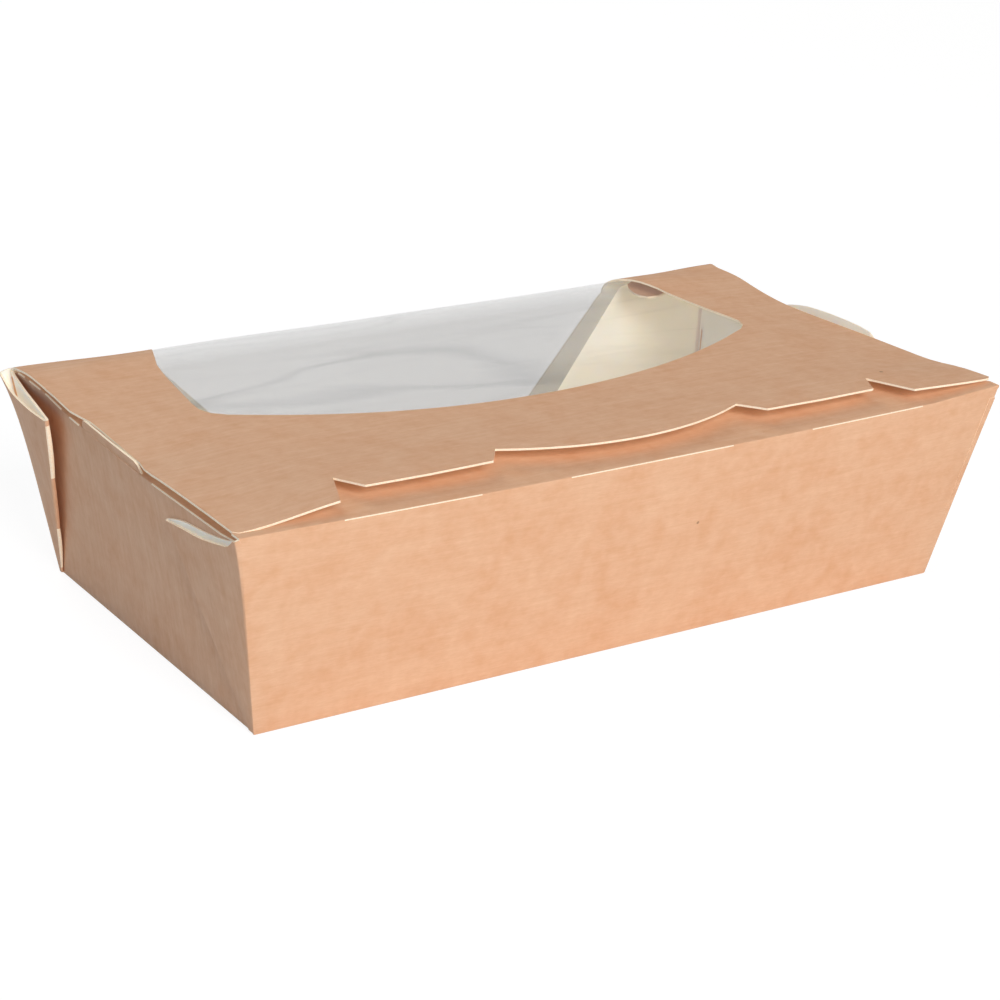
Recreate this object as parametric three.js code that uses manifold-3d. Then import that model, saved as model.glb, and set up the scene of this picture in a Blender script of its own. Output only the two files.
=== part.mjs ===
// A takeaway salad box: one sheet of kraft board folded into a flared tray with web corners and a
// hinged lid, and one clear film glued inside a window that runs over the back fold.
// Millimetres. +X along the box, -Y towards the front, +Z up. The origin is the middle of the base.
import * as THREE from 'three';
import { mergeVertices } from 'three/addons/utils/BufferGeometryUtils.js';
import Module from 'manifold-3d';

const wasm = await Module();
wasm.setup();

// Driving dimensions of the tray
const topLength = 200;
const topDepth = 111;
const height = 48.4;
const endSplay = 8.5;
const sideSplay = 8.5;
const board = 0.5;

// Flaps folded in from the tops of the walls
const flangeDepth = 22.5;
const flangeEndSlope = 11;
const flangeRound = 6;
const flapLength = 36;
const flapWaist = 23;
const flapSideGap = 7;
const flapFlare = 2;
const flapRound = 6;
const waistRound = 12;
const endFoldDrop = 1.2;
const tabHeight = 2.7;
const tabWidth = 24;
const tabSlope = 1.6;

// Web corners folded back along the end walls
const webWidth = 28;
const webDrop = 6;
const webSag = 1.4;
const webSpring = 2.5;
const webPocket = 0.9;
const webFoot = 1;
const pocketDepth = 5.6;
const pocketFootNear = 2.2;
const pocketFootFar = 3.4;
const pocketFootWidth = 0.08;
const pocketOverrun = 0.05;

// Lid, in plan and in section
const lidSideGap = 1;
const lidFrontGap = 2.2;
const hingeGap = 0.3;
const lidCrown = 2.5;
const crownFromHinge = 9;
const crownEnd = 34;
const frontLift = 1.9;
const frontLiftLength = 30;
const frontLiftMiddle = 0.5;
const notchHalfWidth = 75.9;
const notchDepth = 11.8;
const notchSlant = 4.9;
const lockHalfWidth = 67.4;
const lockSetBack = 5;
const lockInner = 36.5;
const tongueHalfWidth = 32.2;
const tongueRootSetBack = 11.2;
const tongueTipSetBack = 3.4;

// Window through the lid and the back wall
const windowTip = 74.6;
const windowTipFromHinge = 44.5;
const windowAtFold = 68;
const windowFrontFromHinge = 69.8;
const windowShoulder = 66.5;
const shoulderFromHinge = 53;
const windowFootHeight = 12;
const windowFootHalf = 31;
const windowRound = 5;

// Film glued inside the window
const film = 0.2;
const glueLine = 0.1;
const filmMargin = 7;
const filmSideMargin = 9.8;
const filmFoldGap = 1.6;
const filmTopGap = 1;

const curveSteps = 12;
const weld = 1e-4;
const through = 30;

const halfTopLength = topLength / 2;
const halfTopDepth = topDepth / 2;
const frontFold = -halfTopDepth;
const backFold = halfTopDepth;
const endFold = height - endFoldDrop;
const endSlant = Math.hypot(height, endSplay) / height;
const sideSlant = Math.hypot(height, sideSplay) / height;
const lidSeat = height + hingeGap + film + glueLine;

// Half length and half depth of the tray's outside at a height above the base
const halfLengthAt = (z) => halfTopLength - endSplay * (1 - z / height);
const halfDepthAt = (z) => halfTopDepth - sideSplay * (1 - z / height);

// A closed geometry as a solid that can be joined and cut
function toSolid(geometry) {
  const bare = geometry.clone();
  bare.deleteAttribute('normal');
  bare.deleteAttribute('uv');
  const merged = mergeVertices(bare, weld);
  return new wasm.Manifold(new wasm.Mesh({
    numProp: 3,
    vertProperties: new Float32Array(merged.attributes.position.array),
    triVerts: new Uint32Array(merged.index.array),
  }));
}

// A solid as a geometry again
function toGeometry(solid) {
  const mesh = solid.getMesh();
  const geometry = new THREE.BufferGeometry();
  geometry.setAttribute('position', new THREE.BufferAttribute(new Float32Array(mesh.vertProperties), 3));
  geometry.setIndex(new THREE.BufferAttribute(new Uint32Array(mesh.triVerts), 1));
  geometry.computeVertexNormals();
  return geometry;
}

// A block with the tray's flare, set in from the outside all round
function flaredBlock(inset, low, high) {
  const geometry = new THREE.BoxGeometry(1, 1, 1);
  const place = geometry.attributes.position;
  for (let i = 0; i < place.count; i += 1) {
    const z = place.getZ(i) > 0 ? high : low;
    const x = Math.sign(place.getX(i)) * (halfLengthAt(z) - inset * endSlant);
    const y = Math.sign(place.getY(i)) * (halfDepthAt(z) - inset * sideSlant);
    place.setXYZ(i, x, y, z);
  }
  return toSolid(geometry);
}

function block(xLow, xHigh, yLow, yHigh, zLow, zHigh) {
  const geometry = new THREE.BoxGeometry(xHigh - xLow, yHigh - yLow, zHigh - zLow);
  geometry.translate((xLow + xHigh) / 2, (yLow + yHigh) / 2, (zLow + zHigh) / 2);
  return toSolid(geometry);
}

// An outline seen from above, raised from one height to another
function raised(shape, low, high) {
  const geometry = new THREE.ExtrudeGeometry(shape, {
    depth: high - low, bevelEnabled: false, curveSegments: curveSteps,
  });
  geometry.translate(0, 0, low);
  return toSolid(geometry);
}

// An outline seen from the front, run from one depth to another
function runBack(shape, near, far) {
  const geometry = new THREE.ExtrudeGeometry(shape, {
    depth: far - near, bevelEnabled: false, curveSegments: curveSteps,
  });
  geometry.rotateX(Math.PI / 2);
  geometry.translate(0, far, 0);
  return toSolid(geometry);
}

// An outline seen from the end, run along the box between plus and minus half a length
function runAlong(shape, halfLength) {
  const geometry = new THREE.ExtrudeGeometry(shape, { depth: 2 * halfLength, bevelEnabled: false });
  const turn = new THREE.Matrix4().makeBasis(
    new THREE.Vector3(0, 1, 0), new THREE.Vector3(0, 0, 1), new THREE.Vector3(1, 0, 0),
  );
  geometry.applyMatrix4(turn);
  geometry.translate(-halfLength, 0, 0);
  return toSolid(geometry);
}

// A closed outline of [x, y, radius] corners, each corner rounded
function roundedShape(corners) {
  const shape = new THREE.Shape();
  corners.forEach(([x, y, radius], i) => {
    const corner = new THREE.Vector2(x, y);
    const [px, py] = corners[(i + corners.length - 1) % corners.length];
    const [nx, ny] = corners[(i + 1) % corners.length];
    const before = new THREE.Vector2(px, py).sub(corner).setLength(radius).add(corner);
    const after = new THREE.Vector2(nx, ny).sub(corner).setLength(radius).add(corner);
    if (i === 0) {
      shape.moveTo(before.x, before.y);
    } else {
      shape.lineTo(before.x, before.y);
    }
    if (radius > 0) {
      shape.quadraticCurveTo(x, y, after.x, after.y);
    }
  });
  return shape;
}

// Mirrors a list of [x, y, radius] corners to the other end of the box and joins the two halves
function mirrored(corners) {
  const other = corners.map(([x, y, radius]) => [-x, y, radius]).reverse();
  return corners.concat(other);
}

// A solid between a lower and an upper outline with the same number of points
function loft(lower, upper) {
  const flat = lower.map((p) => new THREE.Vector2(p.x, p.y));
  const clockwise = THREE.ShapeUtils.isClockWise(flat);
  const low = clockwise ? lower.slice().reverse() : lower;
  const high = clockwise ? upper.slice().reverse() : upper;
  const count = low.length;
  const faces = [];
  THREE.ShapeUtils.triangulateShape(low.map((p) => new THREE.Vector2(p.x, p.y)), []).forEach(([a, b, c]) => {
    faces.push(c, b, a);
  });
  THREE.ShapeUtils.triangulateShape(high.map((p) => new THREE.Vector2(p.x, p.y)), []).forEach(([a, b, c]) => {
    faces.push(a + count, b + count, c + count);
  });
  for (let i = 0; i < count; i += 1) {
    const j = (i + 1) % count;
    faces.push(i, j, j + count, i, j + count, i + count);
  }
  const geometry = new THREE.BufferGeometry().setFromPoints(low.concat(high));
  geometry.setIndex(faces);
  return toSolid(geometry);
}

// One web corner: two layers folded back along the end wall, with a pocket open at the top between
// them. sideX and sideY say which corner of the box it is.
function webCorner(sideX, sideY) {
  const at = (along, out, z) => new THREE.Vector3(
    sideX * (halfLengthAt(z) + out), sideY * (halfDepthAt(z) - along), z,
  );
  const crease = height - webDrop;
  const middle = height - webDrop / 2 - webSag;
  const half = webWidth / 2;
  const halfSpring = webSpring / 2;
  const rootOut = 2 * board + webPocket / 2;
  const outerTop = [
    at(0, -board / 2, endFold), at(webWidth, webSpring, crease), at(webWidth, webSpring + 2 * board, crease),
    at(half, halfSpring + 2 * board + webPocket, middle), at(0, rootOut, endFold),
  ];
  const outerFoot = [
    at(0, -board / 2, webFoot), at(board, 0, webFoot), at(board, board, webFoot),
    at(board / 2, 2 * board, webFoot), at(0, 2 * board, webFoot),
  ];
  const pocketEnd = webWidth - 3 * board;
  const pocketTop = [
    at(board, board, endFold), at(pocketEnd, webSpring + board, crease),
    at(half, halfSpring + board + webPocket, middle), at(board, rootOut - board, endFold),
  ];
  const pocketFoot = [
    at(board, board, pocketDepth), at(pocketFootFar, board, pocketDepth),
    at(pocketFootNear, board + pocketFootWidth, pocketDepth), at(board, board + pocketFootWidth, pocketDepth),
  ];
  const beyond = pocketTop.map((p, i) => p.clone().lerp(pocketFoot[i], -pocketOverrun));
  return loft(outerFoot, outerTop).subtract(loft(pocketFoot, beyond));
}

// Plan of the front flange, seen from above
function flangePlan() {
  const corner = halfTopLength - board;
  const inner = corner - flangeEndSlope;
  return roundedShape(mirrored([
    [corner, frontFold + board / 2, 0],
    [inner, frontFold + flangeDepth, flangeRound],
  ]));
}

// Plan of an end dust flap: its free edge is hollowed so that it stays out of the window
function flapPlan(side) {
  const root = halfLengthAt(endFold) - board / 2;
  const tip = halfTopLength - flapLength;
  const waist = halfTopLength - flapWaist;
  const wide = halfTopDepth - flapSideGap;
  const half = [[root, wide + flapFlare, 0], [tip, wide, flapRound], [waist, wide / 2, waistRound]];
  const other = half.map(([x, y, radius]) => [x, -y, radius]).reverse();
  return roundedShape(half.concat(other).map(([x, y, radius]) => [side * x, y, radius]));
}

// The upright tab cut out of the dust flap's root, in the end wall's plane
function endTab(side) {
  const lean = endSplay / height;
  const foot = endFold - board;
  const top = endFold + tabHeight;
  const outAt = (z) => halfTopLength + (z - height) * lean;
  const inside = -board * endSlant;
  const ring = (z, half) => [[0, -half], [0, half], [inside, half], [inside, -half]].map(
    ([out, y]) => new THREE.Vector3(side * (outAt(z) + out), y, z),
  );
  return loft(ring(foot, tabWidth / 2), ring(top, tabWidth / 2 - tabSlope));
}

// The window's outline on the back wall, made wider and lower by margins for the film
function backWindow(sideMargin, footMargin, top) {
  const slope = (windowAtFold - windowFootHalf) / (height - windowFootHeight);
  return roundedShape(mirrored([
    [windowAtFold + sideMargin + (top - height) * slope, top, 0],
    [windowFootHalf + sideMargin, windowFootHeight - footMargin, windowRound],
  ]));
}

// The window's outline on the lid, seen from above
function lidWindow() {
  const hinge = backFold;
  const front = hinge - windowFrontFromHinge;
  const shoulderY = hinge - shoulderFromHinge;
  const tipY = hinge - windowTipFromHinge;
  const sagitta = shoulderY - front;
  const radius = (windowShoulder ** 2 + sagitta ** 2) / (2 * sagitta);
  const spread = Math.asin(windowShoulder / radius);
  const lean = (windowTip - windowAtFold) / windowTipFromHinge;
  const shape = new THREE.Shape();
  shape.moveTo(windowAtFold - lean * through, hinge + through);
  shape.lineTo(windowTip - lean * windowRound, tipY + windowRound);
  shape.quadraticCurveTo(windowTip, tipY, windowShoulder, shoulderY);
  shape.absarc(0, front + radius, radius, -Math.PI / 2 + spread, -Math.PI / 2 - spread, true);
  shape.quadraticCurveTo(-windowTip, tipY, -windowTip + lean * windowRound, tipY + windowRound);
  shape.lineTo(-windowAtFold + lean * through, hinge + through);
  return shape;
}

// The lid's outline seen from above, with the lock cuts and the tongue at its front edge
function lidPlan() {
  const side = halfTopLength - lidSideGap;
  const front = frontFold + lidFrontGap;
  const rear = backFold - hingeGap;
  const root = frontFold + lidFrontGap + tongueRootSetBack;
  const tip = frontFold + lidFrontGap + tongueTipSetBack;
  const sagitta = root - tip;
  const radius = (tongueHalfWidth ** 2 + sagitta ** 2) / (2 * sagitta);
  const spread = Math.asin(tongueHalfWidth / radius);
  const half = [
    [side, front], [notchHalfWidth, front], [notchHalfWidth - notchSlant, front + notchDepth],
    [lockHalfWidth, front + lockSetBack], [lockInner, front + lockSetBack],
  ];
  const shape = new THREE.Shape();
  shape.moveTo(-side, rear);
  half.forEach(([x, y]) => shape.lineTo(-x, y));
  shape.absarc(0, tip + radius, radius, -Math.PI / 2 - spread, -Math.PI / 2 + spread, false);
  half.slice().reverse().forEach(([x, y]) => shape.lineTo(x, y));
  shape.lineTo(side, rear);
  return shape;
}

// The lid's lower face in section: hinge, crown near the hinge, flat, then a slight lift at the front
function lidSection() {
  const front = frontFold + lidFrontGap;
  const points = [
    [backFold - hingeGap, height + hingeGap],
    [backFold - crownFromHinge, lidSeat + lidCrown],
    [backFold - (crownFromHinge + crownEnd) / 2, lidSeat + lidCrown / 2],
    [backFold - crownEnd, lidSeat],
    [0, lidSeat],
    [front + frontLiftLength, lidSeat],
    [front + frontLiftLength / 2, lidSeat + frontLiftMiddle],
    [front, height + frontLift],
  ];
  return new THREE.SplineCurve(points.map(([y, z]) => new THREE.Vector2(y, z))).getPoints(4 * curveSteps);
}

// A line moved sideways by a distance, square to itself at every point
function offsetLine(line, distance) {
  return line.map((point, i) => {
    const before = line[Math.max(i - 1, 0)];
    const after = line[Math.min(i + 1, line.length - 1)];
    const along = after.clone().sub(before).normalize();
    return new THREE.Vector2(point.x + along.y * distance, point.y - along.x * distance);
  });
}

// A thin sheet in section, between two offsets of one line
function sheetSection(line, low, high) {
  return new THREE.Shape(offsetLine(line, low).concat(offsetLine(line, high).reverse()));
}

function makeTray() {
  const hollow = flaredBlock(board, board, height + through);
  const lowerEnds = halfTopDepth - board;
  let tray = flaredBlock(0, 0, height).subtract(hollow.intersect(
    block(-topLength, topLength, -topDepth, topDepth, board, height + through),
  ));
  tray = tray.subtract(block(-topLength, topLength, -lowerEnds, lowerEnds, endFold, height + through));
  tray = tray.add(raised(flangePlan(), height - board, height));
  for (const side of [-1, 1]) {
    const root = side * (halfTopLength - board);
    const notch = block(Math.min(root, root - side * tabHeight), Math.max(root, root - side * tabHeight),
      -tabWidth / 2, tabWidth / 2, endFold - 2 * board, height);
    const flap = raised(flapPlan(side), endFold - board, endFold).subtract(notch);
    tray = tray.add(flap).add(endTab(side)).add(webCorner(side, -1)).add(webCorner(side, 1));
  }
  const back = halfDepthAt(0) - through;
  return tray.subtract(runBack(backWindow(0, 0, height + board), back, backFold + through));
}

function makeLid() {
  const sheet = runAlong(sheetSection(lidSection(), 0, board), halfTopLength);
  const plan = raised(lidPlan(), height - through, height + through);
  return sheet.intersect(plan).subtract(raised(lidWindow(), height - through, height + through));
}

function makeLidFilm() {
  const sheet = runAlong(sheetSection(lidSection(), -glueLine - film, -glueLine), windowTip + filmMargin);
  const front = backFold - windowFrontFromHinge - filmMargin;
  const half = windowTip + filmMargin;
  return sheet.intersect(block(-half, half, front, backFold - filmFoldGap, height, height + through));
}

function makeBackFilm() {
  const outer = flaredBlock(board + glueLine, 0, height);
  const inner = flaredBlock(board + glueLine + film, 0, height);
  const pane = runBack(backWindow(filmSideMargin, filmMargin, height - filmTopGap), 0, backFold + through);
  return outer.subtract(inner).intersect(pane);
}

const kraft = { color: 0xc8986c, roughness: 0.8, metalness: 0 };
const clearFilm = { color: 0xe6e8e8, roughness: 0.1, metalness: 0, transparent: true, opacity: 0.3 };

function node(name, solid, look) {
  const mesh = new THREE.Mesh(toGeometry(solid), new THREE.MeshStandardMaterial(look));
  mesh.name = name;
  return mesh;
}

const box = new THREE.Group();
box.add(node('tray', makeTray(), kraft));
box.add(node('lid', makeLid(), kraft));
box.add(node('window_film_lid', makeLidFilm(), clearFilm));
box.add(node('window_film_back', makeBackFilm(), clearFilm));

export default box;
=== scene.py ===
import math

import bpy
from mathutils import Matrix, Vector, noise


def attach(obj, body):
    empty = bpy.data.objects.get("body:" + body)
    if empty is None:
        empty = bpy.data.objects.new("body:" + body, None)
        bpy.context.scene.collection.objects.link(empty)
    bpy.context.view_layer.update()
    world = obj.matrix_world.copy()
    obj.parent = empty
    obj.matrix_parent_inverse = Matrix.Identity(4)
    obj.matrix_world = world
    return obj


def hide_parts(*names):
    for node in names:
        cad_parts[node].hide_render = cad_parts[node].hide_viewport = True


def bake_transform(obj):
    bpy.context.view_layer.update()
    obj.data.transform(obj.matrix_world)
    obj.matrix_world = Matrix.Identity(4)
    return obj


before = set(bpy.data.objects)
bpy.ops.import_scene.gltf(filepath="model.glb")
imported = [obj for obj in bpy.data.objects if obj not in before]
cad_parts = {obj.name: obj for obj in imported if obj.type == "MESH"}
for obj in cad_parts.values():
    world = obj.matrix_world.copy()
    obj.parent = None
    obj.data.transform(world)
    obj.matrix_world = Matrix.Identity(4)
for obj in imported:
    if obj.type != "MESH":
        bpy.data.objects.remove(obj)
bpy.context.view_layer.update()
scene = bpy.context.scene
mm = 0.001


# Camera. A long lens looks down on the box's front left corner, with a slight roll.
camera_turn = math.radians(-34.52)
camera_rise = math.radians(21.83)
camera_roll = math.radians(3.04)
camera_distance = 609.3 * mm
camera_lens = 94.25
camera_aim = Vector((0, 0, 25 * mm))
camera_slide = (1.39 * mm, 6.10 * mm)

turned = (Matrix.Rotation(camera_turn, 4, "Z") @ Matrix.Rotation(math.pi / 2 - camera_rise, 4, "X")
          @ Matrix.Rotation(camera_roll, 4, "Z"))
across, upward, backward = (turned.to_3x3() @ Vector(axis) for axis in ((1, 0, 0), (0, 1, 0), (0, 0, 1)))
stand = camera_aim + backward * camera_distance - across * camera_slide[0] - upward * camera_slide[1]
camera = bpy.data.objects.new("camera", bpy.data.cameras.new("camera"))
scene.collection.objects.link(camera)
camera.matrix_world = Matrix.Translation(stand) @ turned
camera.data.lens = camera_lens
camera.data.sensor_width = 36
camera.data.clip_start = 0.01
scene.camera = camera
scene.view_settings.view_transform = "Standard"


# Studio. A white floor that keeps a faint shadow, a pale sky and four soft boxes. The key box stands in
# front and slightly to the left, a weak one hangs above, a warm one stands behind, and a weak blue one
# fills the shaded left end.
def shader(name):
    """A new material with its node tree, its finished shader and its output."""
    material = bpy.data.materials.new(name)
    material.use_nodes = True
    nodes = material.node_tree.nodes
    return material, material.node_tree, nodes["Principled BSDF"], nodes["Material Output"]


def add(tree, kind, inputs=None, **settings):
    """One node with its settings and its inputs, which are values or sockets of other nodes."""
    made = tree.nodes.new(kind)
    for key, value in settings.items():
        setattr(made, key, value)
    for key, value in (inputs or {}).items():
        if isinstance(value, bpy.types.NodeSocket):
            tree.links.new(value, made.inputs[key])
        else:
            made.inputs[key].default_value = value
    return made


def seen_rays(tree):
    """A factor of 1 for rays from the camera and for mirrored and passed rays, and 0 for the rest."""
    path = add(tree, "ShaderNodeLightPath")
    first = add(tree, "ShaderNodeMath", {0: path.outputs["Is Camera Ray"], 1: path.outputs["Is Glossy Ray"]},
                operation="MAXIMUM")
    return add(tree, "ShaderNodeMath", {0: first.outputs[0], 1: path.outputs["Is Transmission Ray"]},
               operation="MAXIMUM").outputs[0]


floor_size = 8
floor_drop = 0.05 * mm
glow_share = 0.8
bpy.ops.object.select_all(action="DESELECT")
bpy.ops.mesh.primitive_plane_add(size=floor_size, location=(0, 0, -floor_drop))
floor = bpy.context.object
floor.name = "floor"
white, tree, surface, output = shader("white_floor")
surface.inputs["Base Color"].default_value = (0.9, 0.9, 0.9, 1)
surface.inputs["Roughness"].default_value = 0.9
glow = add(tree, "ShaderNodeEmission", {"Color": (1, 1, 1, 1), "Strength": 1.12})
lift = add(tree, "ShaderNodeMath", {0: seen_rays(tree), 1: glow_share}, operation="MULTIPLY")
both = add(tree, "ShaderNodeMixShader", {0: lift.outputs[0], 1: surface.outputs[0], 2: glow.outputs[0]})
tree.links.new(both.outputs[0], output.inputs["Surface"])
floor.data.materials.append(white)

sky = bpy.data.worlds.new("sky")
scene.world = sky
sky.use_nodes = True
tree = sky.node_tree
dim = add(tree, "ShaderNodeBackground", {"Color": (0.93, 0.96, 1.0, 1), "Strength": 0.08})
bright = add(tree, "ShaderNodeBackground", {"Color": (1, 1, 1, 1), "Strength": 1.0})
both = add(tree, "ShaderNodeMixShader", {0: seen_rays(tree), 1: dim.outputs[0], 2: bright.outputs[0]})
tree.links.new(both.outputs[0], tree.nodes["World Output"].inputs["Surface"])


def soft_box(name, place, size, power, colour):
    """A square area light that points at the box."""
    lamp = bpy.data.lights.new(name, "AREA")
    lamp.size = size
    lamp.energy = power
    lamp.color = colour
    holder = bpy.data.objects.new(name, lamp)
    scene.collection.objects.link(holder)
    holder.location = place
    holder.rotation_euler = (camera_aim - Vector(place)).to_track_quat("-Z", "Y").to_euler()


soft_box("key", (-0.26, -1.61, 0.99), 0.8, 29, (1.0, 0.98, 0.98))
soft_box("top", (0, 0, 1.9), 1.2, 3, (0.8, 0.9, 1.0))
soft_box("rear", (0, 1.46, 1.22), 0.8, 9, (1.0, 0.93, 0.82))
soft_box("left", (-1.79, 0, 0.65), 0.8, 4, (0.1, 0.5, 1.0))


# Kraft board. One sheet of brown kraft board about half a millimetre thick: mottled and streaked with
# fibre outside, coated pale inside, and cream where it is cut. The grain runs along the box's length.
board = 0.48 * mm


def linear(red, green, blue):
    """A colour read as 0 to 255 on a screen, for a shader."""
    return tuple(((c / 255 + 0.055) / 1.055) ** 2.4 for c in (red, green, blue)) + (1,)


def mottle(tree, place, scale, detail, distortion=0.0):
    """Soft noise from 0 to 1. scale is in spots per metre."""
    return add(tree, "ShaderNodeTexNoise", {"Vector": place, "Scale": scale, "Detail": detail,
                                            "Distortion": distortion}).outputs["Fac"]


def spread(tree, value, low, high):
    """Stretches a noise value so that low becomes 0 and high becomes 1."""
    return add(tree, "ShaderNodeMapRange", {"Value": value, "From Min": low, "From Max": high}).outputs[0]


def blended(tree, factor, first, second):
    """Two colours mixed. The mix node's colour inputs are 6 and 7, and its colour output is 2."""
    made = add(tree, "ShaderNodeMix", data_type="RGBA", blend_type="MIX")
    for index, value in ((0, factor), (6, first), (7, second)):
        if isinstance(value, bpy.types.NodeSocket):
            tree.links.new(value, made.inputs[index])
        else:
            made.inputs[index].default_value = value
    return made.outputs[2]


def grain_place(tree, along, across_grain):
    """The sheet's own coordinates, stretched along the grain."""
    sheet = add(tree, "ShaderNodeUVMap", uv_map="grain").outputs[0]
    return add(tree, "ShaderNodeMapping", {"Vector": sheet, "Scale": (along, across_grain, 1)}).outputs[0]


def make_kraft():
    """Clouds and patches of brown, streaks and fibres along the grain, and a few dark specks."""
    material, tree, surface, _ = shader("kraft_outside")
    flat = grain_place(tree, 1, 1)
    clouds = spread(tree, mottle(tree, flat, 95, 4, 0.6), 0.32, 0.68)
    patches = spread(tree, mottle(tree, flat, 300, 3), 0.3, 0.7)
    streaks = spread(tree, mottle(tree, grain_place(tree, 0.16, 2.2), 420, 5, 0.4), 0.3, 0.7)
    fibres = spread(tree, mottle(tree, grain_place(tree, 0.3, 1.6), 1900, 2), 0.3, 0.7)
    colour = blended(tree, clouds, linear(225, 172, 133), linear(232, 186, 150))
    colour = blended(tree, spread(tree, patches, 0, 2.4), colour, linear(243, 203, 168))
    colour = blended(tree, spread(tree, streaks, 0, 5.5), colour, linear(204, 146, 104))
    colour = blended(tree, spread(tree, fibres, 0, 6), colour, linear(196, 140, 100))
    # Some of these cells have a speck in the middle.
    cells = add(tree, "ShaderNodeTexVoronoi", {"Vector": flat, "Scale": 55, "Randomness": 1})
    kept = add(tree, "ShaderNodeMath", {0: cells.outputs["Color"], 1: 0.62}, operation="GREATER_THAN")
    near = add(tree, "ShaderNodeMath", {0: cells.outputs["Distance"], 1: 0.026}, operation="LESS_THAN")
    speck = add(tree, "ShaderNodeMath", {0: kept.outputs[0], 1: near.outputs[0]}, operation="MULTIPLY")
    faint = add(tree, "ShaderNodeMath", {0: speck.outputs[0], 1: 0.55}, operation="MULTIPLY")
    colour = blended(tree, faint.outputs[0], colour, linear(120, 84, 58))
    tree.links.new(colour, surface.inputs["Base Color"])
    rough = add(tree, "ShaderNodeMapRange", {"Value": streaks, "To Min": 0.62, "To Max": 0.78}).outputs[0]
    tree.links.new(rough, surface.inputs["Roughness"])
    surface.inputs["Specular IOR Level"].default_value = 0.3
    height = blended(tree, 0.5, streaks, fibres)
    bump = add(tree, "ShaderNodeBump", {"Height": height, "Strength": 0.12, "Distance": 0.06 * mm})
    tree.links.new(bump.outputs[0], surface.inputs["Normal"])
    return material


def make_inside():
    """A pale coating. Its scattering and its weak glow stand in for light that comes through thin board."""
    material, tree, surface, _ = shader("coated_inside")
    flat = grain_place(tree, 1, 1)
    clouds = spread(tree, mottle(tree, flat, 70, 3), 0.3, 0.7)
    colour = blended(tree, clouds, linear(244, 233, 214), linear(250, 242, 228))
    tree.links.new(colour, surface.inputs["Base Color"])
    surface.inputs["Roughness"].default_value = 0.38
    surface.inputs["Emission Color"].default_value = (1.0, 0.9, 0.79, 1)
    surface.inputs["Emission Strength"].default_value = 0.13
    surface.inputs["Subsurface Weight"].default_value = 0.7
    surface.inputs["Subsurface Radius"].default_value = (1.0, 0.75, 0.5)
    surface.inputs["Subsurface Scale"].default_value = 1.3 * mm
    ripple = mottle(tree, grain_place(tree, 0.5, 1), 600, 2)
    bump = add(tree, "ShaderNodeBump", {"Height": ripple, "Strength": 0.1, "Distance": 0.05 * mm})
    tree.links.new(bump.outputs[0], surface.inputs["Normal"])
    return material


def make_edge():
    """Cream and fuzzy, with the same kind of weak glow as the coated inside."""
    material, tree, surface, _ = shader("cut_edge")
    place = add(tree, "ShaderNodeTexCoord").outputs["Object"]
    fuzz = spread(tree, mottle(tree, place, 2600, 3), 0.3, 0.7)
    colour = blended(tree, fuzz, linear(244, 220, 188), linear(252, 238, 214))
    tree.links.new(colour, surface.inputs["Base Color"])
    surface.inputs["Emission Color"].default_value = (1.0, 0.8, 0.58, 1)
    surface.inputs["Emission Strength"].default_value = 0.12
    surface.inputs["Roughness"].default_value = 0.9
    bump = add(tree, "ShaderNodeBump", {"Height": fuzz, "Strength": 0.4, "Distance": 0.08 * mm})
    tree.links.new(bump.outputs[0], surface.inputs["Normal"])
    return material


# A face is brown unless it is given one of the other two numbers.
board_faces = (make_kraft(), make_inside(), make_edge())
inside_face, cut_face = 1, 2


# Tray. The flared tray is folded up from the middle of the sheet: base, two long walls and two end
# walls, with the front flange and the end dust flaps folded in from their tops. The end walls stand
# in from the long walls' ends by the thickness of the webs that lie on them.
top_length = 200 * mm
top_depth = 111 * mm
height = 48.4 * mm
splay = 8.5 * mm
flange_depth = 22.5 * mm
flange_end_slope = 11 * mm
flap_length = 36 * mm
end_fold = height - 1.2 * mm
back_seam = 44.6 * mm
fold_round = 0.45 * mm
front_bow = 0.85 * mm
window_at_fold = 68 * mm
window_foot_half = 31 * mm
window_foot = 12 * mm
# The dashes that are cut through the front fold and the end folds, in mm from the middle.
front_cuts = ((-76.4, -43.8), (-21.5, 21.5), (43.8, 76.4))
end_cuts = ((-52, -15), (20, 25), (29, 37.5), (40, 46), (48.5, 52))
panel_pitch = 9 * mm
half_length, half_depth = top_length / 2, top_depth / 2


def half_length_at(z):
    """Half the flared tray's length at a height."""
    return half_length - splay * (1 - z / height)


def half_depth_at(z):
    """Half the flared tray's depth at a height."""
    return half_depth - splay * (1 - z / height)


def give_board(piece):
    """The three faces of the board, in the order outside, inside, cut edge."""
    piece.data.materials.clear()
    for face in board_faces:
        piece.data.materials.append(face)


def leave_edit():
    """Goes back to object mode."""
    if bpy.context.object and bpy.context.object.mode != "OBJECT":
        bpy.ops.object.mode_set(mode="OBJECT")


def take_up(piece):
    """Makes this piece the only one selected, and the active one."""
    leave_edit()
    bpy.ops.object.select_all(action="DESELECT")
    piece.select_set(True)
    bpy.context.view_layer.objects.active = piece


def pick(piece, kind, wanted):
    """Selects in edit mode the vertices, edges or polygons whose middle and direction pass a test."""
    leave_edit()
    mesh = piece.data
    for part in (mesh.vertices, mesh.edges, mesh.polygons):
        part.foreach_set("select", [False] * len(part))
    for item in getattr(mesh, kind):
        if kind == "vertices":
            item.select = wanted(item.co, item.normal)
        elif kind == "edges":
            a, b = (mesh.vertices[i].co for i in item.vertices)
            item.select = wanted((a + b) / 2, (b - a).normalized())
        else:
            item.select = wanted(item.center, item.normal)
    scene.tool_settings.mesh_select_mode = [kind == each for each in ("vertices", "edges", "polygons")]
    bpy.ops.object.mode_set(mode="EDIT")


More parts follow.
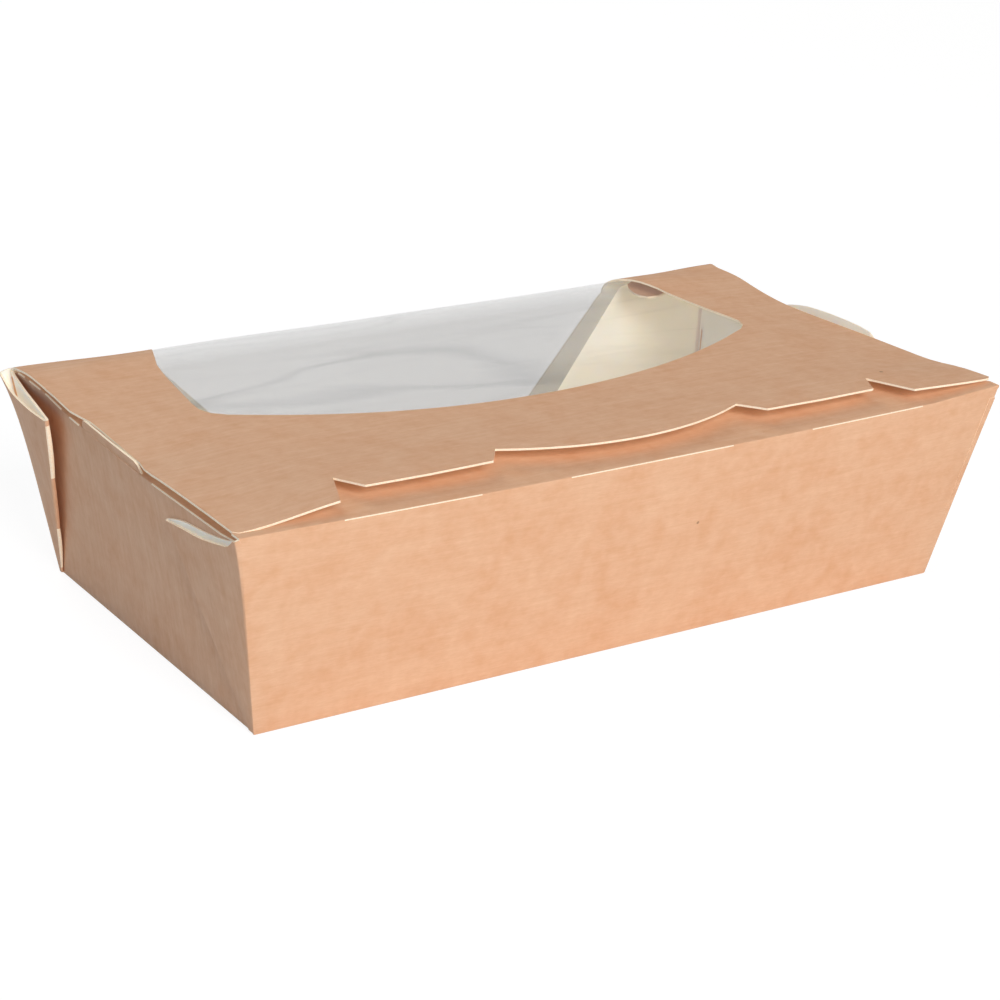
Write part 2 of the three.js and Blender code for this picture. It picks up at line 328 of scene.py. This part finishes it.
def slice_through(piece, axis, places):
    """Cuts new edges across the whole piece at these places along an axis, for it to bend at."""
    take_up(piece)
    bpy.ops.object.mode_set(mode="EDIT")
    across_axis = [float(axis == i) for i in range(3)]
    for place in places:
        bpy.ops.mesh.select_all(action="SELECT")
        bpy.ops.mesh.bisect(plane_co=[place * c for c in across_axis], plane_no=across_axis)
    leave_edit()


def steps(low, high, pitch):
    """Even steps of about this pitch from low to high, with both ends."""
    count = max(1, round((high - low) / pitch))
    return [low + (high - low) * i / count for i in range(count + 1)]


bpy.ops.object.select_all(action="DESELECT")
bpy.ops.mesh.primitive_cube_add(size=1, location=(0, 0, height / 2),
                                scale=(top_length - 2 * splay, top_depth - 2 * splay, height))
tray = bpy.context.object
tray.name = "tray_board"
bpy.ops.object.transform_apply(location=True, rotation=True, scale=True)
give_board(tray)

# A face or an edge points along an axis when this much of its direction does.
mostly = 0.9
pick(tray, "polygons", lambda middle, normal: normal.z > mostly)
bpy.ops.mesh.delete(type="FACE")
pick(tray, "vertices", lambda place, normal: place.z > height - mm)
bpy.ops.transform.resize(value=(half_length / (half_length - splay), half_depth / (half_depth - splay), 1),
                         center_override=(0, 0, height))
slice_through(tray, 2, [back_seam, end_fold])
pick(tray, "polygons", lambda middle, normal: middle.z > end_fold and abs(normal.x) > mostly
     or middle.z > back_seam and normal.y > mostly)
bpy.ops.mesh.delete(type="FACE")
pick(tray, "edges", lambda middle, along: middle.z > height - 0.1 * mm and middle.y < 0
     and abs(along.x) > mostly)
bpy.ops.mesh.extrude_region_move(TRANSFORM_OT_translate={"value": (0, flange_depth, 0)})
flap_taper = 0.945
for side in (-1, 1):
    pick(tray, "edges", lambda middle, along: abs(middle.z - end_fold) < 0.1 * mm and abs(along.y) > mostly
         and middle.x * side > half_length - mm)
    bpy.ops.mesh.extrude_region_move(TRANSFORM_OT_translate={"value": (-side * flap_length, 0, 0)})
    bpy.ops.transform.resize(value=(1, flap_taper, 1), center_override=(0, 0, 0))
leave_edit()

# New edges for the walls to bend at, beside the corners, and where the dashes end.
slice_through(tray, 0, steps(-half_length + 2 * mm, half_length - 2 * mm, panel_pitch)
              + [end * mm for cut in front_cuts for end in cut])
slice_through(tray, 1, steps(-half_depth + 1.2 * mm, half_depth - 1.2 * mm, panel_pitch)
              + [-half_depth + 3 * mm, half_depth - 3 * mm] + [end * mm for cut in end_cuts for end in cut])
slice_through(tray, 2, steps(4 * mm, end_fold - 4 * mm, panel_pitch))

# Every fold is a small round bend.
take_up(tray)
bpy.ops.object.mode_set(mode="EDIT")
bpy.ops.mesh.select_mode(type="EDGE")
bpy.ops.mesh.select_all(action="DESELECT")
bpy.ops.mesh.edges_select_sharp(sharpness=math.radians(40))
bpy.ops.mesh.bevel(offset=fold_round, segments=3, affect="EDGES", clamp_overlap=True)
leave_edit()


def inside_cuts(place, cuts):
    """Whether a place along a fold is on one of its dashes."""
    return any(low * mm <= place <= high * mm for low, high in cuts)


def lay_grain(piece):
    """Writes a folded sheet's own coordinates, in metres, with the grain along the first of them."""
    mesh = piece.data
    grain = mesh.uv_layers.get("grain") or mesh.uv_layers.new(name="grain")
    for face in mesh.polygons:
        wide, deep, tall = (abs(c) for c in face.normal)
        for corner in face.loop_indices:
            x, y, z = mesh.vertices[mesh.loops[corner].vertex_index].co
            if wide > deep and wide > tall:
                grain.data[corner].uv = (z + 1, y)
            elif deep > tall:
                grain.data[corner].uv = (x, z + 2)
            else:
                grain.data[corner].uv = (x, y)


def thicken(piece, even=True):
    """Gives a sheet the board's thickness, inwards from its brown face, with cut edges."""
    take_up(piece)
    solid = piece.modifiers.new("thickness", "SOLIDIFY")
    solid.thickness = board
    solid.offset = -1
    solid.use_even_offset = even
    if piece.vertex_groups:
        solid.vertex_group = piece.vertex_groups[0].name
    solid.material_offset = inside_face
    solid.material_offset_rim = cut_face
    bpy.ops.object.modifier_apply(modifier=solid.name)


for face in tray.data.polygons:
    at = face.center
    on_front_fold = at.y < -half_depth + fold_round and at.z > height - fold_round
    on_end_fold = abs(at.x) > half_length_at(end_fold) - fold_round and abs(at.z - end_fold) < fold_round
    if on_front_fold and inside_cuts(at.x, front_cuts) and abs(face.normal.z) < 0.95:
        face.material_index = cut_face
    elif on_end_fold and inside_cuts(at.y, end_cuts):
        face.material_index = cut_face
lay_grain(tray)
thicken(tray)


def turn_over(piece):
    """Turns the brown side of a sheet to its other side."""
    take_up(piece)
    bpy.ops.object.mode_set(mode="EDIT")
    bpy.ops.mesh.select_all(action="SELECT")
    bpy.ops.mesh.flip_normals()
    leave_edit()


def cut_outline(name, outline):
    """A flat sheet cut to an outline of x, y points, facing up."""
    drawn = bpy.data.curves.new(name, "CURVE")
    drawn.dimensions = "2D"
    drawn.fill_mode = "BOTH"
    line = drawn.splines.new("POLY")
    line.points.add(len(outline) - 1)
    for point, (x, y) in zip(line.points, outline):
        point.co = (x, y, 0, 1)
    line.use_cyclic_u = True
    sheet = bpy.data.objects.new(name, drawn)
    scene.collection.objects.link(sheet)
    take_up(sheet)
    bpy.ops.object.convert(target="MESH")
    sheet = bpy.context.object
    if sum(face.normal.z for face in sheet.data.polygons) < 0:
        turn_over(sheet)
    grain = sheet.data.uv_layers.new(name="grain")
    for loop in sheet.data.loops:
        grain.data[loop.index].uv = sheet.data.vertices[loop.vertex_index].co.xy
    return sheet


def punch(piece, outline, place, depth):
    """Cuts an outline through a piece. place moves the flat outline to where it cuts, and depth is how
    far it cuts from there, along the outline's own Z."""
    die = cut_outline("die", outline)
    bpy.ops.object.mode_set(mode="EDIT")
    bpy.ops.mesh.select_all(action="SELECT")
    bpy.ops.mesh.extrude_region_move(TRANSFORM_OT_translate={"value": (0, 0, depth)})
    bpy.ops.mesh.select_all(action="SELECT")
    bpy.ops.mesh.normals_make_consistent(inside=False)
    leave_edit()
    give_board(die)
    for face in die.data.polygons:
        face.material_index = cut_face
    die.data.transform(place)
    take_up(piece)
    cut = piece.modifiers.new("cut", "BOOLEAN")
    cut.operation = "DIFFERENCE"
    cut.solver = "MANIFOLD"
    cut.object = die
    bpy.ops.object.modifier_apply(modifier=cut.name)
    bpy.data.objects.remove(die)


# The flange's slanted ends.
corner = half_length + 2 * mm
flange_end = half_length - flange_end_slope
flange_edge = -half_depth + flange_depth
for side in (-1, 1):
    end_cut = [(side * corner, -half_depth + 0.6 * mm), (side * flange_end, flange_edge - 5 * mm),
               (side * (flange_end - 4 * mm), flange_edge + mm), (side * corner, flange_edge + mm)]
    punch(tray, end_cut, Matrix.Translation((0, 0, height - 0.8 * mm)), 3 * mm)

# What is cut from one half of a dust flap to leave its rounded ear and its waist, in mm in plan.
flap_ear = ((76, 54), (74, 53), (71.2, 51.6), (69.4, 48.8), (68.2, 45.4), (68.3, 42.6), (69.8, 40.8),
            (73, 40.6), (78, 42.4), (82.5, 42.8), (85, 40), (86.5, 34), (87.5, 20), (88, 0), (62, 0), (62, 54))
for side in (-1, 1):
    for way in (-1, 1):
        punch(tray, [(side * x * mm, way * y * mm) for x, y in flap_ear],
              Matrix.Translation((0, 0, end_fold - 2 * mm)), 2.6 * mm)

# The back wall's part of the window, which narrows down to a foot with rounded corners.
slant = (window_at_fold - window_foot_half) / (height - window_foot)
half_window = [(window_at_fold + slant * mm, height + mm),
               (window_foot_half + 4 * mm, window_foot + 4 * mm / slant),
               (window_foot_half + 1.2 * mm, window_foot + 0.9 * mm),
               (window_foot_half - 3 * mm, window_foot)]
back_outline = half_window + [(-x, z) for x, z in reversed(half_window)]
behind = Matrix.Translation((0, half_depth + 5 * mm, 0)) @ Matrix.Rotation(math.pi / 2, 4, "X")
punch(tray, back_outline, behind, 20 * mm)


def ease(value, start=0.0, length=1.0):
    """Rises softly from 0 to 1 as a value goes on from start by a length."""
    t = min(max((value - start) / length, 0.0), 1.0)
    return t * t * (3 - 2 * t)


def through(points):
    """A smooth curve through points of (place, value), flat beyond its ends."""
    def value(place):
        if place <= points[0][0]:
            return points[0][1]
        if place >= points[-1][0]:
            return points[-1][1]
        i = max(k for k in range(len(points) - 1) if points[k][0] <= place)
        (x0, y0), (x1, y1) = points[i], points[i + 1]
        before, after = points[max(i - 1, 0)], points[min(i + 2, len(points) - 1)]
        m0 = (y1 - before[1]) / (x1 - before[0]) * (x1 - x0)
        m1 = (after[1] - y0) / (after[0] - x0) * (x1 - x0)
        t = (place - x0) / (x1 - x0)
        return ((2 * t**3 - 3 * t**2 + 1) * y0 + (t**3 - 2 * t**2 + t) * m0
                + (3 * t**2 - 2 * t**3) * y1 + (t**3 - t**2) * m1)
    return value


def settle(piece, moved):
    """Moves every point of a piece, for the bows and lifts that a folded sheet takes up."""
    leave_edit()
    for vertex in piece.data.vertices:
        vertex.co = moved(vertex.co)


def web_stack(z):
    """The thickness of a folded web: two layers of board, pressed thin at the foot."""
    return (0.45 + 0.6 * ease(z, 0, 20 * mm)) * mm


# The heights of the left and right ends' folds in mm, from the front to the back.
left_fold = through([(-54, 46.4), (-48, 45.6), (-38, 45.45), (-15, 45.3), (-8, 45.4), (18, 46.3),
                     (26, 46.7), (35, 47.8), (47, 48.3), (54, 48.2)])
right_fold = through([(-54, 47.4), (-30, 46.9), (0, 46.6), (30, 46.9), (54, 47.6)])
right_rise = 1.0 * mm
end_zone = 60 * mm
wall_wave, waves_per_metre = 0.22 * mm, 22


def tray_settled(place):
    """The front wall sags in the middle and rises at its right end, the end walls stand in by the webs'
    thickness under their uneven folds, and the long walls wave a little."""
    x, y, z = place
    up = z / height
    front = ease(-y, 30 * mm, 12 * mm)
    from_long_wall = half_depth_at(z) - abs(y)
    z_new = z - front_bow * (1 - (x / half_length) ** 2) * up * front
    z_new += right_rise * ease(x, 78 * mm, 22 * mm) * up * front
    if z < end_fold + 0.3 * mm and abs(x) > end_zone:
        fold = (left_fold if x < 0 else right_fold)(y / mm) * mm - end_fold
        off_wall = ease(from_long_wall, 0.5 * mm, 2 * mm)
        z_new += fold * ease(z, 22 * mm, 24 * mm) * off_wall * ease(abs(x), 62 * mm, 20 * mm)
        inset = web_stack(z) * ease(from_long_wall, 0, 1.3 * mm) * ease(abs(x), end_zone, 20 * mm)
        x -= math.copysign(inset, x) * (1 if z > 0.6 * mm else ease(abs(x), 85 * mm, 6 * mm))
    wave = noise.noise(Vector((x, y, z)) * waves_per_metre) * wall_wave * up
    flat_of_wall = ease(height - z, 0, 6 * mm) * ease(88 * mm - abs(x), 0, 16 * mm)
    if abs(y) > 40 * mm:
        y += wave * flat_of_wall
    return Vector((x, y, z_new))


settle(tray, tray_settled)


# Upright tabs. A tongue of each end wall stays up in the wall's plane when the dust flap beside it is
# folded in. It is part of the same sheet, so it has the same faces and cut edges.
# Each outline is in mm along the wall and upwards.
hair = 0.03 * mm
left_tab = ((-10.4, 43), (-9.6, 45.6), (-8.4, 46.9), (-6.8, 47.4), (4.2, 47.7), (12, 48.1), (16.6, 48.35),
            (17.7, 48.1), (18.2, 47.0), (18.6, 43))
right_tab = ((-15, 43), (-13.9, 46.6), (-12.9, 48.0), (-10.6, 49.1), (-6.7, 49.4), (-1.4, 49.45), (4.7, 49.3),
             (9.7, 49.0), (13, 48.7), (16.1, 48.2), (19, 47.5), (21.9, 46.6), (25, 45.4), (27, 43))
tabs = []
for side, tab_outline in ((-1, left_tab), (1, right_tab)):
    tab = cut_outline("tab", [(y * mm, z * mm) for y, z in tab_outline])
    if side < 0:
        turn_over(tab)
    give_board(tab)
    slice_through(tab, 1, steps(44 * mm, 46.5 * mm, 1.2 * mm))
    settle(tab, lambda p: Vector((side * (half_length_at(p.y) - web_stack(p.y) + hair), p.x, p.y)))
    thicken(tab)
    tabs.append(tab)


# Web corners. At each corner the sheet between two walls is folded on a diagonal crease and laid back
# along the end wall in two layers. They are held at the wall's edge and spring a little open on top,
# and the crease is cut through along two dashes so that it folds easily.
web_foot = 0.5 * mm
foot_share = 0.05
corner_round = 0.5 * mm
tuck = 1.8 * mm
hidden = 1.25 * mm
cut_swell = 0.14 * mm
wrap_steps, outer_steps, crease_steps, inner_steps, rows = 4, 20, 7, 14, 30


def web_corner(side_x, side_y, width, spring, bulge, lead, outer_top, inner_top, cuts):
    """The folded web at one corner. width is where its crease ends on top, and spring, bulge and lead are
    how far it stands off there, at its middle and at the corner. outer_top and inner_top are its two
    layers' top edges, and cuts are the crease's dashes, as shares of its height. Each column of the mesh
    goes up the web, and columns run round the corner, out to the crease and back to the corner."""
    crease_top = inner_top(width / mm) * mm
    columns = []

    def grown(z):
        return foot_share + (1 - foot_share) * z / crease_top

    def crease_round(z):
        share = z / crease_top
        opened = sum(math.sin(math.pi * (share - low) / (high - low)) for low, high in cuts
                     if low < share < high)
        return web_stack(z) / 2 + cut_swell * opened

    def add_column(place, top, in_crease=False):
        columns.append((place, top * mm, in_crease))

    add_column(lambda z: (hair, -tuck), outer_top(0))
    for i in range(wrap_steps + 1):
        angle = math.pi / 2 * i / wrap_steps
        add_column(lambda z, angle=angle: (hair + corner_round * (1 - math.cos(angle)),
                                           corner_round * (math.sin(angle) - 1)
                                           + lead * math.sin(angle) * grown(z) ** 6), outer_top(0.12 * i))
    start = hair + corner_round
    for i in range(1, outer_steps + 1):
        t = (i / outer_steps) ** 1.3

        def on_outer(z, t=t):
            stand = spring * t + bulge * math.sin(math.pi * t) * (1 - 0.35 * t)
            return (start + (width * grown(z) - start) * t,
                    stand * grown(z) + lead * (1 - t) ** 3 * grown(z) ** 6)
        add_column(on_outer, outer_top(width * t / mm))
    for i in range(1, crease_steps):
        angle = math.pi * i / crease_steps

        def on_crease(z, angle=angle):
            r = crease_round(z)
            return width * grown(z) + r * math.sin(angle), spring * grown(z) - r * (1 - math.cos(angle))
        share = i / crease_steps
        add_column(on_crease, outer_top(width / mm) * (1 - share) + inner_top(width / mm) * share, True)
    for i in range(inner_steps + 1):
        t = 1 - i / inner_steps

        def on_inner(z, t=t):
            return (hidden + (width * grown(z) - hidden) * t,
                    (spring * grown(z) - 2 * crease_round(z)) * t - (web_stack(z) - 0.04 * mm) * (1 - t))
        add_column(on_inner, inner_top(width * t / mm))

    bpy.ops.object.select_all(action="DESELECT")
    bpy.ops.mesh.primitive_grid_add(x_subdivisions=len(columns) - 1, y_subdivisions=rows, size=1)
    web = bpy.context.object
    web.name = "web"
    give_board(web)
    thinness = web.vertex_groups.new(name="thickness")
    in_cut = set()
    for vertex in web.data.vertices:
        column = round((vertex.co.x + 0.5) * (len(columns) - 1))
        place, top, in_crease = columns[column]
        z = web_foot + (top - web_foot) * (vertex.co.y + 0.5)
        along, out = place(z)
        vertex.co = (side_x * (half_length_at(z) + out), side_y * (half_depth_at(z) - along), z)
        # Each layer is a little under half as thick as the stack.
        thinness.add([vertex.index], (web_stack(z) - 0.07 * mm) / (2 * board), "REPLACE")
        if in_crease and any(low < z / crease_top < high for low, high in cuts):
            in_cut.add(vertex.index)
    for face in web.data.polygons:
        if all(v in in_cut for v in face.vertices):
            face.material_index = cut_face
    if side_x * side_y > 0:
        turn_over(web)
    lay_grain(web)
    thicken(web, even=False)
    return web


# The layers' top edges in mm, by how far they are from the long wall. The last point is the crease.
rear_outer = through([(0, 48.3), (0.8, 47.0), (2.4, 44.6), (10, 44.1), (19, 44.4), (26.6, 45.1)])
rear_inner = through([(0, 48.2), (2, 47.5), (9, 46.5), (17, 46.1), (26.6, 45.5)])
right_outer = through([(0, 46.4), (2.4, 44.6), (10, 44.1), (19, 44.4), (28, 45.1)])
right_inner = through([(0, 46.4), (2, 46.6), (9, 46.3), (17, 46.1), (28, 45.5)])
front_outer = through([(0, 48.1), (1.2, 46.8), (2.6, 45.4), (4.2, 44.6), (14, 42.2), (24, 40.8),
                       (32.4, 39.5)])
front_inner = through([(0, 47.4), (4, 45.5), (14, 43.3), (24, 42.0), (32.4, 39.9)])
crease_cuts = ((0.02, 0.31), (0.63, 0.99))
nicks = ((0.24, 0.33), (0.55, 0.58))
webs = [
    web_corner(-1, 1, 26.6 * mm, 3.6 * mm, 0.9 * mm, 1.7 * mm, rear_outer, rear_inner, crease_cuts),
    web_corner(-1, -1, 32.4 * mm, 0.35 * mm, 0.75 * mm, 0.35 * mm, front_outer, front_inner, nicks),
    web_corner(1, 1, 26.6 * mm, 2.2 * mm, 0.8 * mm, 0.4 * mm, right_outer, right_inner, crease_cuts),
    web_corner(1, -1, 28 * mm, 1.2 * mm, 0.7 * mm, 0.2 * mm, right_outer, right_inner, crease_cuts),
]


def finish_board(piece):
    take_up(piece)
    bpy.ops.object.shade_smooth_by_angle(angle=math.radians(28))


take_up(tray)
for part in tabs + webs:
    part.select_set(True)
bpy.ops.object.join()
finish_board(tray)
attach(tray, "tray")
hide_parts("tray")


# Lid. The rest of the sheet, folded over from the back wall in a soft bend on each side of the window.
# Its front edge has two lock cuts and a round tongue, it is crowned near the bend, and its front edge
# stands up a little.
lid_side = half_length - 0.3 * mm
lid_front = -53.0 * mm
notch_half, notch_y = 75.9 * mm, -41.2 * mm
notch_apex = 71.0 * mm
lock_half, lock_y = 67.4 * mm, -48.1 * mm
lock_inner = 36.5 * mm
tongue_half, tongue_root_y, tongue_tip_y = 32.2 * mm, -42.1 * mm, -49.9 * mm
window_shoulder, shoulder_y = 66.5 * mm, 2.5 * mm
window_front_y = -14.3 * mm
bend_start = 50 * mm
bend_length = 7.9 * mm


def arc_through(half, end_y, middle_y, count):
    """An arc symmetrical about x = 0, from plus half to minus half, as x, y points."""
    sagitta = end_y - middle_y
    radius = (half**2 + sagitta**2) / (2 * sagitta)
    half_angle = math.asin(half / radius)
    start, end = -math.pi / 2 + half_angle, -math.pi / 2 - half_angle
    angles = [start + (end - start) * i / count for i in range(count + 1)]
    return [(radius * math.cos(angle), middle_y + radius + radius * math.sin(angle)) for angle in angles]


def mirrored(points):
    """The same points on the other side of x = 0, in the opposite order."""
    return [(-x, y) for x, y in reversed(points)]


front_right = [(lock_inner, lock_y), (52 * mm, lock_y - 0.35 * mm), (lock_half, lock_y),
               (notch_apex, notch_y), (notch_half, lid_front + 0.3 * mm)]
rounded_end = [(lid_side - 1.0 * mm, lid_front), (lid_side, lid_front + 1.0 * mm)]
lid_rear = bend_start + bend_length
rear_end = [(lid_side, bend_start), (lid_side - 0.6 * mm, lid_rear)]
right_window = [(64.6 * mm, lid_rear), (65.4 * mm, 54 * mm), (66.4 * mm, 50 * mm), (68.6 * mm, 44.6 * mm),
                (70.6 * mm, 39 * mm), (71.8 * mm, 32 * mm), (73.2 * mm, 22 * mm), (74.4 * mm, 14 * mm),
                (74.6 * mm, 10.4 * mm), (73.4 * mm, 7.2 * mm), (70.6 * mm, 4.6 * mm)]
tongue = arc_through(tongue_half, tongue_root_y, tongue_tip_y, 28)[::-1]
window_front = arc_through(window_shoulder, shoulder_y, window_front_y, 40)
outline = (tongue + front_right + rounded_end + rear_end + right_window + window_front
           + mirrored(right_window) + mirrored(rear_end) + mirrored(rounded_end) + mirrored(front_right))
lid = cut_outline("lid_board", outline)
give_board(lid)
slice_through(lid, 1, steps(-52 * mm, 34 * mm, 4 * mm) + steps(36 * mm, 57.4 * mm, 0.95 * mm))
slice_through(lid, 0, steps(-96 * mm, 96 * mm, 4 * mm))

# The heights of the lid's brown face in mm, from its front edge to the bend: in the middle and at its
# left and right ends. The insets are how far the ends stand in, and bend_y and bend_z are the bend's
# section by its length.
lid_middle = through([(-53.5, 51.4), (-40, 51.0), (-22, 49.9), (0, 49.4), (20, 49.3), (34, 49.6), (42, 50.35),
                      (46, 50.4), (50, 49.7)])
lid_left = through([(-53.5, 48.5), (-40, 48.6), (-21, 48.4), (-12, 47.9), (-8, 47.7), (4, 48.1), (15, 48.8),
                    (23.4, 49.1), (29, 49.7), (34, 50.0), (38, 50.3), (43.5, 50.5), (47, 50.3), (50.4, 49.8)])
lid_right = through([(-53, 50.6), (-43, 50.0), (-33, 48.8), (-22, 48.5), (-13, 48.4), (18, 48.0), (34, 48.4),
                     (43, 48.7), (50, 48.6)])
left_inset = through([(-14, 0), (-9, 1.3), (16, 1.3), (20, 0)])
right_inset = through([(-53, 0), (-43, 0.2), (-22, 0.9), (-13, 1.4), (5, 2.6), (18, 3.3), (30, 2.6),
                       (40, 1.2), (50, 0.8)])
bend_y = through([(0, 50), (1.6, 51.5), (3.2, 52.9), (4.6, 54.05), (5.8, 54.75), (6.8, 55.0), (7.9, 54.86)])
bend_z = through([(0, 49.7), (1.6, 49.15), (3.2, 48.4), (4.6, 47.55), (5.8, 46.6), (6.8, 45.65), (7.9, 44.6)])
middle_half = 70 * mm
lid_wave, lid_waves_per_metre = 0.15 * mm, 18
corner_back, corner_up = 0.25 * mm, 0.75 * mm


def lid_top(x, y):
    """The height of the lid's brown face at a place in plan, in front of the bend."""
    at = y / mm
    level = lid_middle(at)
    if x < 0:
        level += (lid_left(at) - level) * ease(-x, middle_half, 29 * mm)
    else:
        level += (lid_right(at) - level) * ease(x, middle_half, 29 * mm)
    return level * mm


def lid_settled(place):
    """The flat lid takes its heights, and past bend_start it follows the bend down to the back wall. The
    bend stands up and back a little at the corners."""
    x, y, _ = place
    past = max(0.0, y - bend_start)
    share = past / bend_length
    inset = right_inset(y / mm) * mm * ease(x, 76 * mm, 22 * mm) * (1 - share)
    inset -= left_inset(y / mm) * mm * ease(-x, 80 * mm, 18 * mm)
    wave = noise.noise(Vector((x, y, 0)) * lid_waves_per_metre) * lid_wave * ease(48 * mm - y, 0, 10 * mm)
    if past == 0:
        return Vector((x - inset, y, lid_top(x, y) + wave))
    at_corner = math.sin(math.pi * share) * ease(abs(x), middle_half, 28 * mm)
    z = bend_z(past / mm) * mm + (lid_top(x, bend_start) - bend_z(0) * mm) * (1 - ease(share * 1.6))
    return Vector((x - inset, bend_y(past / mm) * mm + corner_back * at_corner, z + corner_up * at_corner))


settle(lid, lid_settled)
thicken(lid)
finish_board(lid)
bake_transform(lid)
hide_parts("lid")


# Window film. One sheet of clear film, glued inside the lid and the back wall so that it closes the
# window across the fold. It is slightly slack, so it has long soft wrinkles and stands up at the fold.
film = 0.12 * mm
film_margin = 7 * mm
film_front = window_front_y - film_margin
film_foot = 5 * mm
film_half = 81.6 * mm
film_foot_half = 34.6 * mm
film_fold_half, film_fold_z = 71.6 * mm, 47.4 * mm
film_under = board + 0.14 * mm
film_slack = 0.45 * mm


def make_film():
    """Clear, with haze and faint wrinkle lines of painted shade. Below the fold it is veiled more, which is
    painted shade too, so that it reads greyer there than on the lid."""
    material, tree, surface, _ = shader("clear_film")
    place = add(tree, "ShaderNodeTexCoord").outputs["Object"]
    swirl = add(tree, "ShaderNodeMapping", {"Vector": place, "Rotation": (0, 0, 0.12), "Scale": (6, 48, 36)})
    lines = mottle(tree, swirl.outputs[0], 1.0, 1.5, 0.9)
    centred = add(tree, "ShaderNodeMath", {0: lines, 1: 0.5}, operation="SUBTRACT")
    ridge = add(tree, "ShaderNodeMath", {0: centred.outputs[0]}, operation="ABSOLUTE")
    # Painted shade: the film is darker grey and a little more opaque along its wrinkle lines.
    crease = spread(tree, ridge.outputs[0], 0.02, 0.0)
    haze = spread(tree, mottle(tree, place, 22, 2), 0.3, 0.7)
    shade = blended(tree, crease, linear(176, 176, 175), linear(135, 136, 137))
    tree.links.new(shade, surface.inputs["Base Color"])
    thick = add(tree, "ShaderNodeMath", {0: haze, 1: 0.02, 2: 0.11}, operation="MULTIPLY_ADD")
    veil = add(tree, "ShaderNodeMath", {0: crease, 1: 0.02, 2: thick.outputs[0]}, operation="MULTIPLY_ADD")
    tall = add(tree, "ShaderNodeSeparateXYZ", {"Vector": place}).outputs["Z"]
    # Painted shade: below the fold the film is veiled more, so that it reads greyer there than on the lid.
    low = spread(tree, tall, 47 * mm, 43 * mm)
    veiled = add(tree, "ShaderNodeMath", {0: low, 1: 0.15, 2: veil.outputs[0]}, operation="MULTIPLY_ADD")
    tree.links.new(veiled.outputs[0], surface.inputs["Alpha"])
    surface.inputs["Roughness"].default_value = 0.12
    surface.inputs["IOR"].default_value = 1.45
    bump = add(tree, "ShaderNodeBump", {"Height": lines, "Strength": 0.1, "Distance": 0.6 * mm})
    tree.links.new(bump.outputs[0], surface.inputs["Normal"])
    return material


def film_path():
    """The film in section, from its front edge under the lid, over the bend and down the back wall."""
    outer = [(y, lid_middle(y / mm) * mm) for y in steps(film_front, 49 * mm, 2.4 * mm)]
    outer += [(bend_y(past) * mm, bend_z(past) * mm) for past in steps(0, 7.4, 0.9)]
    outer += [(half_depth_at(z), z) for z in steps(43.5 * mm, film_foot, 2.4 * mm)]
    inner = []
    for i, (y, z) in enumerate(outer):
        y0, z0 = outer[max(i - 1, 0)]
        y1, z1 = outer[min(i + 1, len(outer) - 1)]
        run = math.hypot(y1 - y0, z1 - z0)
        inner.append((y + (z1 - z0) / run * film_under, z - (y1 - y0) / run * film_under))
    return inner


path = film_path()
columns = 54
bpy.ops.object.select_all(action="DESELECT")
bpy.ops.mesh.primitive_grid_add(x_subdivisions=columns, y_subdivisions=len(path) - 1, size=1)
window = bpy.context.object
window.name = "window_film"
for vertex in window.data.vertices:
    across_share = vertex.co.x * 2
    row = round((vertex.co.y + 0.5) * (len(path) - 1))
    y, z = path[row]
    # The film is as wide as the lid's glue margins allow, and narrows with the window below the fold.
    on_back = ease(48 * mm - z, 0, 2 * mm)
    narrow = film_foot_half + (film_fold_half - film_foot_half) * (z - film_foot) / (film_fold_z - film_foot)
    half = film_half * (1 - on_back) + narrow * on_back
    x = across_share * half
    slack = noise.noise(Vector((x * 16, y * 60, z * 60))) * film_slack
    slack *= (1 - across_share**8) * ease(y, film_front, 12 * mm) * ease(z, film_foot, 6 * mm)
    # It stands up a little at the bend, more at its left.
    near_bend = ease(1 - abs(y - 51 * mm) / (11 * mm)) * (z > 42 * mm) * (1 - across_share**6)
    rise = (0.35 + 0.5 * ease(-x, 5 * mm, 50 * mm)) * mm * near_bend
    level = (lid_top(x, y) - lid_middle(y / mm) * mm) * (y < bend_start)
    vertex.co = (x, y + slack * on_back, z + rise + (slack + level) * (1 - on_back))
take_up(window)
bpy.ops.object.mode_set(mode="EDIT")
bpy.ops.mesh.select_all(action="SELECT")
bpy.ops.mesh.normals_make_consistent(inside=False)
leave_edit()
solid = window.modifiers.new("thickness", "SOLIDIFY")
solid.thickness = film
solid.offset = -1
bpy.ops.object.modifier_apply(modifier=solid.name)
window.data.materials.append(make_film())
bpy.ops.object.shade_smooth_by_angle(angle=math.radians(60))
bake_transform(window)
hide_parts("window_film_lid", "window_film_back")
